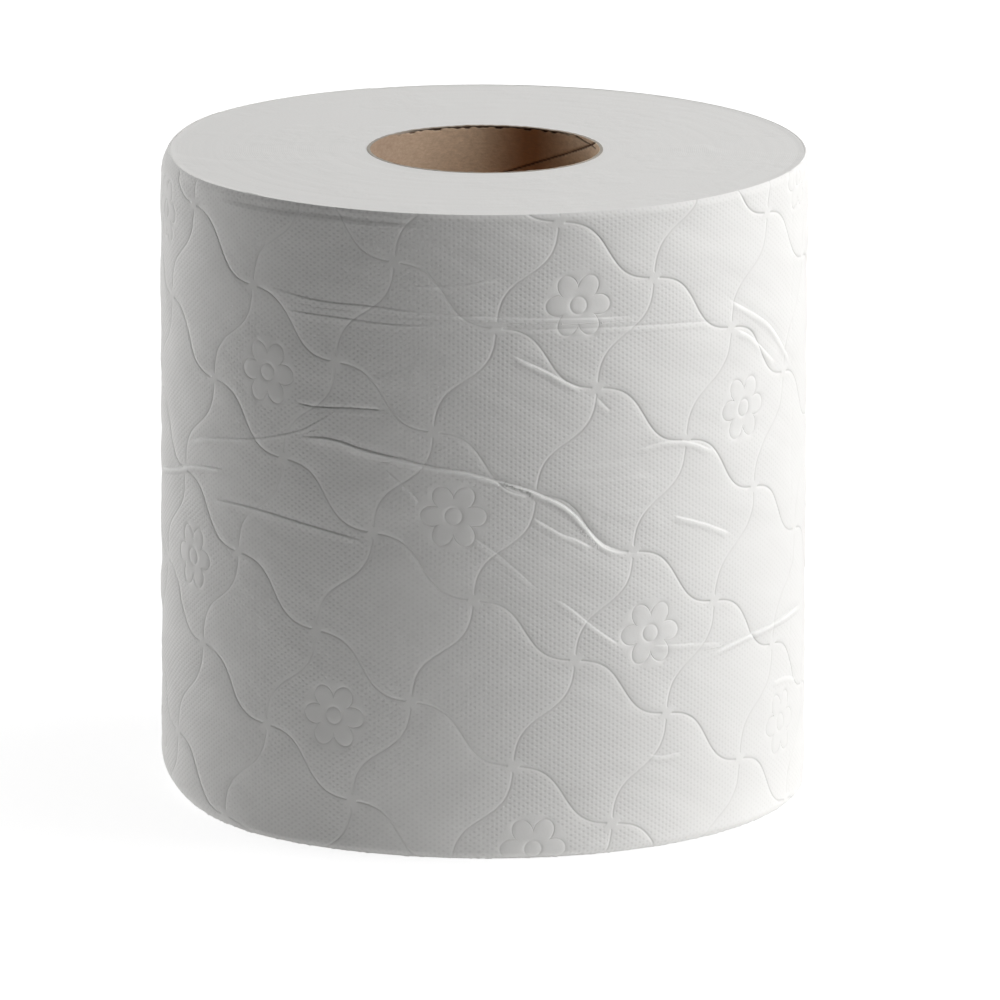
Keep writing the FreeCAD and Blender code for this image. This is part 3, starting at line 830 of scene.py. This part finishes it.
def line_share(emboss, a, b):
    """Shader values: how deep the grooves' sharp lines are, with round ends at the nodes, and
    the distance to the nearest one.
    """
    counts = np.linalg.inv(lattice_steps(emboss) * MM)
    distances = []
    for sign, across, running, own, other in ((1, b, a, 1, 0), (-1, a, b, 0, 1)):
        swing = running * FULL_TURN
        phase = across + swing.math("SINE") * (sign * emboss.sway)
        bend = swing.math("COSINE") * (sign * FULL_TURN * emboss.sway)
        slope_x = bend * float(counts[other, 0]) + float(counts[own, 0])
        slope_y = bend * float(counts[other, 1]) + float(counts[own, 1])
        slope = diagonal(slope_x, slope_y)
        off = (phase - phase.math("ROUND")) / slope
        to_node = (running - running.math("ROUND")).math("ABSOLUTE") * emboss.pitch
        past = (emboss.node_gap - to_node).math("MAXIMUM", 0.0)
        distances.append(diagonal(off, past))
    level, steep = distances
    share = bell(level, emboss.line_reach)
    share = share.math("MAXIMUM", bell(steep, emboss.line_reach) * emboss.steep_share)
    return share, level.math("MINIMUM", steep)


# The shaders' lengths are metres. Noise is (scale, detail, roughness), a ramp (start, width).
FIBRE_NOISE, FIBRE_HEIGHT = (2200.0, 3.0, 0.6), 0.00002
# Fine dots: the plain paper round the rosettes, the nodes and the grooves, the height between
# two dots of a column, and how unevenly they are pressed over the sheet and towards its right.
PLAIN_ROSETTE, PLAIN_NODE, PLAIN_GROOVE = (1.02, 0.0006), (0.0014, 0.0005), (0.0003, 0.0003)
DOT_BRIDGE, DOT_CALM, ROSETTE_LINE = 0.14, 0.6, 0.6
PRESS_NOISE, PRESS_RAMP, PRESS_LEAST = (45.0, 2.0), (0.30, 0.30), 0.65
RIGHT_RAMP, RIGHT_LOSS = (0.015, 0.040), 0.6
# A crease's sharp line: places over its middle with their reach, heights as shares of its
# strength, and the gain that sets the strength from which the painted highlight under it is full.
NOTCH_PLACE, NOTCH_REACH, NOTCH_LINE = 0.00016, 0.00020, 0.2
LIP_RAMP, LIP_REACH, LIP_LINE = (-0.00016, 0.00030), 0.0011, 0.8
HIGHLIGHT_PLACE, HIGHLIGHT_REACH, HIGHLIGHT_GAIN = 0.00032, 0.00034, 2800.0
# Painted shade: how much darker the dots, the grooves and the creases are.
DOT_SHADE, LINE_SHADE, NOTCH_SHADE = 0.085, 0.05, 50.0


def make_paper(sizes, emboss):
    """White tissue: sharp lines in the grooves and rosettes, a staggered grid of fine dots that
    leaves out the nodes, the grooves and the rosettes, the sharp step of every crease, fibres.
    """
    graph = Graph("tissue_paper")
    along, up, _ = graph.split(graph.node("ShaderNodeUVMap", uv_map="unrolled").outputs[0])
    steps = lattice_steps(emboss) * MM
    counts = np.linalg.inv(steps)
    right, above = along - emboss.front_offset, up - emboss.node_height
    a = right * float(counts[0, 0]) + above * float(counts[0, 1])
    b = right * float(counts[1, 0]) + above * float(counts[1, 1])
    line, nearest = line_share(emboss, a, b)

    from_a = ((a * 0.5).math("FRACT") - 0.25) * 2.0
    from_b = ((b * 0.5).math("FRACT") - 0.75) * 2.0
    x = from_a * float(steps[0, 0]) + from_b * float(steps[0, 1])
    y = from_a * float(steps[1, 0]) + from_b * float(steps[1, 1])
    radius = diagonal(x, y)
    petals = (y.math("ARCTAN2", x) * (PETALS / 2)).math("COSINE").math("ABSOLUTE")
    petals = petals.math("POWER", PETAL_ROUNDNESS)
    outline = (petals * (1 - PETAL_NOTCH) + PETAL_NOTCH) * emboss.rosette_radius
    middle = radius - emboss.rosette_radius * MIDDLE_RING
    rosette = bell(radius - outline, emboss.line_reach)
    rosette = rosette.math("MAXIMUM", bell(middle, emboss.line_reach))

    off_a, off_b = a - a.math("ROUND"), b - b.math("ROUND")
    from_node = diagonal(off_a, off_b) * emboss.pitch
    turn = along * (FULL_TURN / emboss.dot_pitch)
    columns = (turn * 2.0).math("COSINE") * 0.5 + 0.5
    dots = turn.math("COSINE") * (up * (FULL_TURN / emboss.dot_rise)).math("COSINE")
    dots = dots.math("MAXIMUM", 0.0) * (columns * (1 - DOT_CALM) + DOT_CALM)
    dots = dots + columns * DOT_BRIDGE
    share, fade = PLAIN_ROSETTE
    free = ramp(radius, emboss.rosette_radius * share, fade)
    free = free * ramp(from_node, *PLAIN_NODE) * ramp(nearest, *PLAIN_GROOVE)
    spot = graph.node("ShaderNodeTexCoord").outputs["Object"]
    pressed = ramp(graph.noise(spot, *PRESS_NOISE), *PRESS_RAMP)
    pressed = pressed * (1 - PRESS_LEAST) + PRESS_LEAST
    pressed = pressed * (1.0 - ramp(along, *RIGHT_RAMP) * RIGHT_LOSS)
    dots = dots * free * pressed
    relief = graph.noise(spot, *FIBRE_NOISE) * FIBRE_HEIGHT - dots * emboss.dot_depth
    relief = relief - (line + rosette * ROSETTE_LINE) * emboss.line_depth

    off, strength, _ = graph.split(graph.node("ShaderNodeUVMap", uv_map="creases").outputs[0])
    notch = bell(off - NOTCH_PLACE, NOTCH_REACH)
    lip = (1.0 - ramp(off, *LIP_RAMP)) * bell(off, LIP_REACH)
    relief = relief + (lip * LIP_LINE - notch * NOTCH_LINE) * strength
    # Painted highlight on the paper just under each crease's line, where its step faces up.
    painted_light = bell(off + HIGHLIGHT_PLACE, HIGHLIGHT_REACH) * strength * HIGHLIGHT_GAIN
    # Painted shade in the pits of the dots, the grooves' sharp lines and the creases' notches.
    painted_shade = dots * DOT_SHADE + line * LINE_SHADE + notch * strength * NOTCH_SHADE
    tone = graph.mix(painted_shade, sizes.colour, BLACK)
    tone = graph.mix(painted_light.math("MINIMUM", 1.0), tone, sizes.lip_highlight)
    return graph.finish(tone, relief, PAPER_FINISH)


# The end faces: the patches where the lines between turns show, those lines, fibres and scuffs.
PATCH_NOISE, RING_RAMP, RING_HEIGHT = (60.0, 3.0), (0.42, 0.2), 0.000006
END_NOISE, END_HEIGHT = (1800.0, 3.0, 0.6), 0.00004
SCUFF_NOISE, SCUFF_RAMP, SCUFF_HEIGHT = (380.0, 4.0), (0.50, 0.12), 0.00016


def make_end_paper(sizes):
    """The cut ends of the sheets: white, with faint lines between the turns and fine fibres."""
    graph = Graph("tissue_ends")
    spot = graph.node("ShaderNodeTexCoord").outputs["Object"]
    x, y, _ = graph.split(spot)
    radius = diagonal(x, y)
    turned = y.math("ARCTAN2", x) / FULL_TURN
    rings = ((radius / sizes.bulk + turned) * FULL_TURN).math("COSINE")
    patches = graph.noise(spot, *PATCH_NOISE)
    relief = rings * ramp(patches, *RING_RAMP) * RING_HEIGHT
    relief = relief + graph.noise(spot, *END_NOISE) * END_HEIGHT
    scuffed = ramp(patches, *SCUFF_RAMP)
    relief = relief + graph.noise(spot, *SCUFF_NOISE) * scuffed * SCUFF_HEIGHT
    return graph.finish(sizes.colour, relief, PAPER_FINISH)


# The board: its grain, the ramps of painted light and shade from left to right, and the cut rim's
# height.
GRAIN_NOISE, GRAIN_STRETCH, GRAIN_HEIGHT = (1100.0, 5.0, 0.65), (1.0, 1.0, 2.0), 0.00006
PAINTED_LIGHT_RAMP, WARM_SHADE_START, WARM_SHADE_END = (-0.018, 0.014), (-0.001, 0.008), (0.009, 0.006)
# Shares of the fibres and of the painted shade in the gaps, and the seam line's edge and fading.
FIBRE_SHARE, GAP_SHADE_SHARE, SEAM_EDGE, SEAM_FADE = 0.7, 0.9, 0.3, 0.003
CUT_EDGE, CUT_HEIGHT, CUT_FADE = 0.00004, 0.45, 0.0002


def make_cardboard(core, tube_radius, top):
    """Recycled board: greyish tan with fibres, painted light and shade from left to right with a
    redder patch of painted shade, paler on the cut rim.

    The seam is a line of painted shade, below the part of the wall where it is cut into the board,
    and its cut gap, the split and the torn scallops get painted shade too.
    """
    graph = Graph("core_cardboard")
    spot = graph.node("ShaderNodeTexCoord").outputs["Object"]
    flat = {0: spot, 1: GRAIN_STRETCH}
    flat = graph.node("ShaderNodeVectorMath", flat, operation="MULTIPLY")
    grain = graph.noise(flat.outputs[0], *GRAIN_NOISE)
    x, y, z = graph.split(spot)
    radius = diagonal(x, y)
    # Painted light and shade: the shaded colour on the left turns into the lit one, with a redder
    # patch of painted shade just right of the middle.
    painted_light = graph.mix(ramp(x, *PAINTED_LIGHT_RAMP), core.painted_shade, core.light)
    warm_shade = ramp(x, *WARM_SHADE_START) * (1.0 - ramp(x, *WARM_SHADE_END))
    board = graph.mix(warm_shade, painted_light, core.warm_shade)
    fine = graph.mix(grain * FIBRE_SHARE, board, core.fibre)
    turned = (y.math("ARCTAN2", x) - core.seam_top_angle) / FULL_TURN
    phase = (z - top * MM) / core.seam_pitch + turned
    off = (phase - phase.math("ROUND")).math("ABSOLUTE") * core.seam_pitch
    deep = 1.0 - ramp(z, (top - SEAM_DEPTH) * MM, SEAM_FADE)
    side = core.seam_gap * SEAM_EDGE
    seam = (1.0 - ramp(off, side, side)) * deep
    # Painted shade in the seam's line, its cut gap, the split and the torn scallops.
    gap = graph.node("ShaderNodeAttribute", attribute_name="gap")
    gap = graph.value(gap.outputs["Fac"]).math("MAXIMUM", seam)
    hollow = graph.mix(gap * GAP_SHADE_SHARE, fine, core.gap)
    edge = ramp(radius, tube_radius * MM - core.ply * 2 + CUT_EDGE, CUT_EDGE)
    edge = edge * ramp(z, (top - CUT_HEIGHT) * MM, CUT_FADE)
    tone = graph.mix(edge, hollow, core.rim)
    return graph.finish(tone, grain, BOARD_FINISH, distance=GRAIN_HEIGHT)


def node_top(node):
    """Height of a node's top above the floor, in millimetres."""
    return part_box(node)[1].z / MM


class ROLL_OT_outer_turn(bpy.types.Operator):
    """Add the sheets of the outer turn, split at their perforations"""

    bl_idname = "roll.outer_turn"
    bl_label = "Add Outer Turn"

    def execute(self, context):
        sizes, emboss = context.scene.roll_sizes, context.scene.roll_emboss
        material = make_paper(sizes, emboss)
        tail = tail_offset(sizes)
        end = tail + FULL_TURN * sizes.radius / MM
        length = sizes.sheet_length / MM
        starts = np.arange(tail, end, length)
        top = node_top("paper_roll")
        for count, start in enumerate(starts, 1):
            finish = min(start + length, end)
            add_sheet(f"sheet_{count}", sizes, emboss, start, finish, top, material)
        return {"FINISHED"}


class ROLL_OT_wound_turns(bpy.types.Operator):
    """Add the turns under the outer one, with both end faces"""

    bl_idname = "roll.wound_turns"
    bl_label = "Add Wound Turns"

    def execute(self, context):
        tube_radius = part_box("core_tube")[1].x / MM
        sizes = context.scene.roll_sizes
        add_wound_turns(sizes, tube_radius, node_top("paper_roll"), make_end_paper(sizes))
        return {"FINISHED"}


class ROLL_OT_core(bpy.types.Operator):
    """Add the cardboard core with its seam"""

    bl_idname = "roll.core"
    bl_label = "Add Core"

    def execute(self, context):
        tube_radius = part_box("core_tube")[1].x / MM
        core, top = context.scene.roll_core, node_top("core_tube")
        add_core(core, tube_radius, top, make_cardboard(core, tube_radius, top))
        return {"FINISHED"}


def add_camera(stage, target):
    """The camera at the photo's angle, aimed at the middle of the roll."""
    data = bpy.data.cameras.new("camera")
    camera = linked("camera", data)
    data.sensor_width = stage.sensor_width
    data.lens = stage.focal_length
    data.shift_x, data.shift_y = stage.shift_right, stage.shift_up
    data.clip_end = 100.0
    pitch, lean = stage.camera_pitch, stage.camera_roll
    forward = Vector((0, math.cos(pitch), -math.sin(pitch)))
    plain_up = Vector((0, math.sin(pitch), math.cos(pitch)))
    plain_right = Vector((1, 0, 0))
    right = plain_right * math.cos(lean) + plain_up * math.sin(lean)
    up = plain_up * math.cos(lean) - plain_right * math.sin(lean)
    turned = Matrix((right, up, -forward)).transposed().to_4x4()
    turned.translation = target - forward * stage.camera_distance
    camera.matrix_world = turned
    bpy.context.scene.camera = camera


# Lamps: name, azimuth from the front towards the right, elevation, power.
LAMP_DISTANCE, LAMP_SIZE = 1.2, 0.9
LAMPS = [
    ("side", 90.0, 15.0, 3.6),
    ("key", 90.0, 35.0, 9.0),
    ("front_high", 60.0, 56.0, 4.3),
    ("back_left", -130.0, 15.0, 12.0),
]


def add_lamp(name, azimuth, elevation, power, target):
    """A square area lamp aimed at the target."""
    data = bpy.data.lights.new(name, "AREA")
    data.size, data.energy = LAMP_SIZE, power
    lamp = linked(name, data)
    side, rise = math.radians(azimuth), math.radians(elevation)
    away = Vector((
        math.sin(side) * math.cos(rise), -math.cos(side) * math.cos(rise), math.sin(rise)
    ))
    lamp.location = target + away * LAMP_DISTANCE
    lamp.rotation_euler = away.to_track_quat("Z", "Y").to_euler()


# The floor's own colour, and how brightly the camera sees it away from the roll.
FLOOR_COLOUR, FLOOR_WHITE = (0.8, 0.8, 0.8, 1.0), 1.2


def add_floor(stage):
    """A pale floor that the camera sees as white, with the roll's soft shadow on it."""
    half = stage.floor_size / 2
    mesh = bpy.data.meshes.new("floor")
    outline = [(-half, -half, 0), (half, -half, 0), (half, half, 0), (-half, half, 0)]
    mesh.from_pydata(outline, [], [(0, 1, 2, 3)])
    floor = linked("floor", mesh)
    graph = Graph("floor")
    graph.feed(graph.shader.inputs["Base Color"], FLOOR_COLOUR)
    graph.feed(graph.shader.inputs["Roughness"], 1.0)
    white = graph.node("ShaderNodeEmission", {"Color": WHITE, "Strength": FLOOR_WHITE})
    path = graph.node("ShaderNodeLightPath")
    seen = graph.value(path.outputs["Is Camera Ray"])
    spot = graph.node("ShaderNodeTexCoord").outputs["Object"]
    distance = graph.node("ShaderNodeVectorMath", {0: spot}, operation="LENGTH")
    away = graph.value(distance.outputs["Value"])
    # Painted light: the floor glows near the roll for every ray but the camera's, lighting the roll
    # from below.
    fading = (away * (-1.0 / stage.glow_reach)).math("EXPONENT")
    strength = fading * stage.glow * (1.0 - seen)
    glow = graph.node("ShaderNodeEmission", {"Color": WHITE, "Strength": strength})
    lit = graph.node("ShaderNodeAddShader", {0: graph.shader.outputs[0], 1: glow.outputs[0]})
    whiter = 1.0 - bell(away, stage.shadow_reach) * stage.shadow_share
    mix = graph.node(
        "ShaderNodeMixShader", {0: seen * whiter, 1: lit.outputs[0], 2: white.outputs[0]}
    )
    graph.feed(graph.tree.nodes["Material Output"].inputs["Surface"], mix.outputs[0])
    mesh.materials.append(graph.material)


def add_world():
    """A plain world: white for the camera, dark for everything else."""
    world = bpy.data.worlds.new("world")
    bpy.context.scene.world = world
    world.use_nodes = True
    background = world.node_tree.nodes["Background"]
    background.inputs["Color"].default_value = WHITE
    path = world.node_tree.nodes.new("ShaderNodeLightPath")
    seen = path.outputs["Is Camera Ray"]
    world.node_tree.links.new(seen, background.inputs["Strength"])


class ROLL_OT_stage(bpy.types.Operator):
    """Add the camera, the lamps, the floor and the plain world"""

    bl_idname = "roll.stage"
    bl_label = "Add Stage"

    def execute(self, context):
        stage = context.scene.roll_stage
        target = Vector((0, 0, node_top("paper_roll") * MM / 2))
        context.scene.view_settings.view_transform = "Standard"
        add_camera(stage, target)
        for lamp in LAMPS:
            add_lamp(*lamp, target)
        add_floor(stage)
        add_world()
        return {"FINISHED"}


class ROLL_PT_panel(bpy.types.Panel):
    """The roll's sizes and its buttons"""

    bl_label = "Toilet Paper Roll"
    bl_idname = "ROLL_PT_panel"
    bl_space_type = "VIEW_3D"
    bl_region_type = "UI"
    bl_category = "Roll"

    def draw(self, context):
        scene = context.scene
        for group in (scene.roll_sizes, scene.roll_emboss, scene.roll_core, scene.roll_stage):
            box = self.layout.box()
            for name in group.__annotations__:
                box.prop(group, name)
        for operator in OPERATORS:
            self.layout.operator(operator.bl_idname)


OPERATORS = (ROLL_OT_outer_turn, ROLL_OT_wound_turns, ROLL_OT_core, ROLL_OT_stage)
GROUPS = {
    "roll_sizes": RollSizes,
    "roll_emboss": EmbossSizes,
    "roll_core": CoreSizes,
    "roll_stage": StageSizes,
}


def register():
    """Register the classes and hang the property groups on the scene."""
    for cls in (*GROUPS.values(), *OPERATORS, ROLL_PT_panel):
        bpy.utils.register_class(cls)
    for name, group in GROUPS.items():
        setattr(bpy.types.Scene, name, PointerProperty(type=group))


def unregister():
    """Undo register."""
    for name in GROUPS:
        delattr(bpy.types.Scene, name)
    for cls in reversed((*GROUPS.values(), *OPERATORS, ROLL_PT_panel)):
        bpy.utils.unregister_class(cls)


def main():
    """Build everything."""
    register()
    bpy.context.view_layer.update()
    bpy.ops.roll.outer_turn()
    bpy.ops.roll.wound_turns()
    bpy.ops.roll.core()
    bpy.ops.roll.stage()


if __name__ == "__main__":
    main()
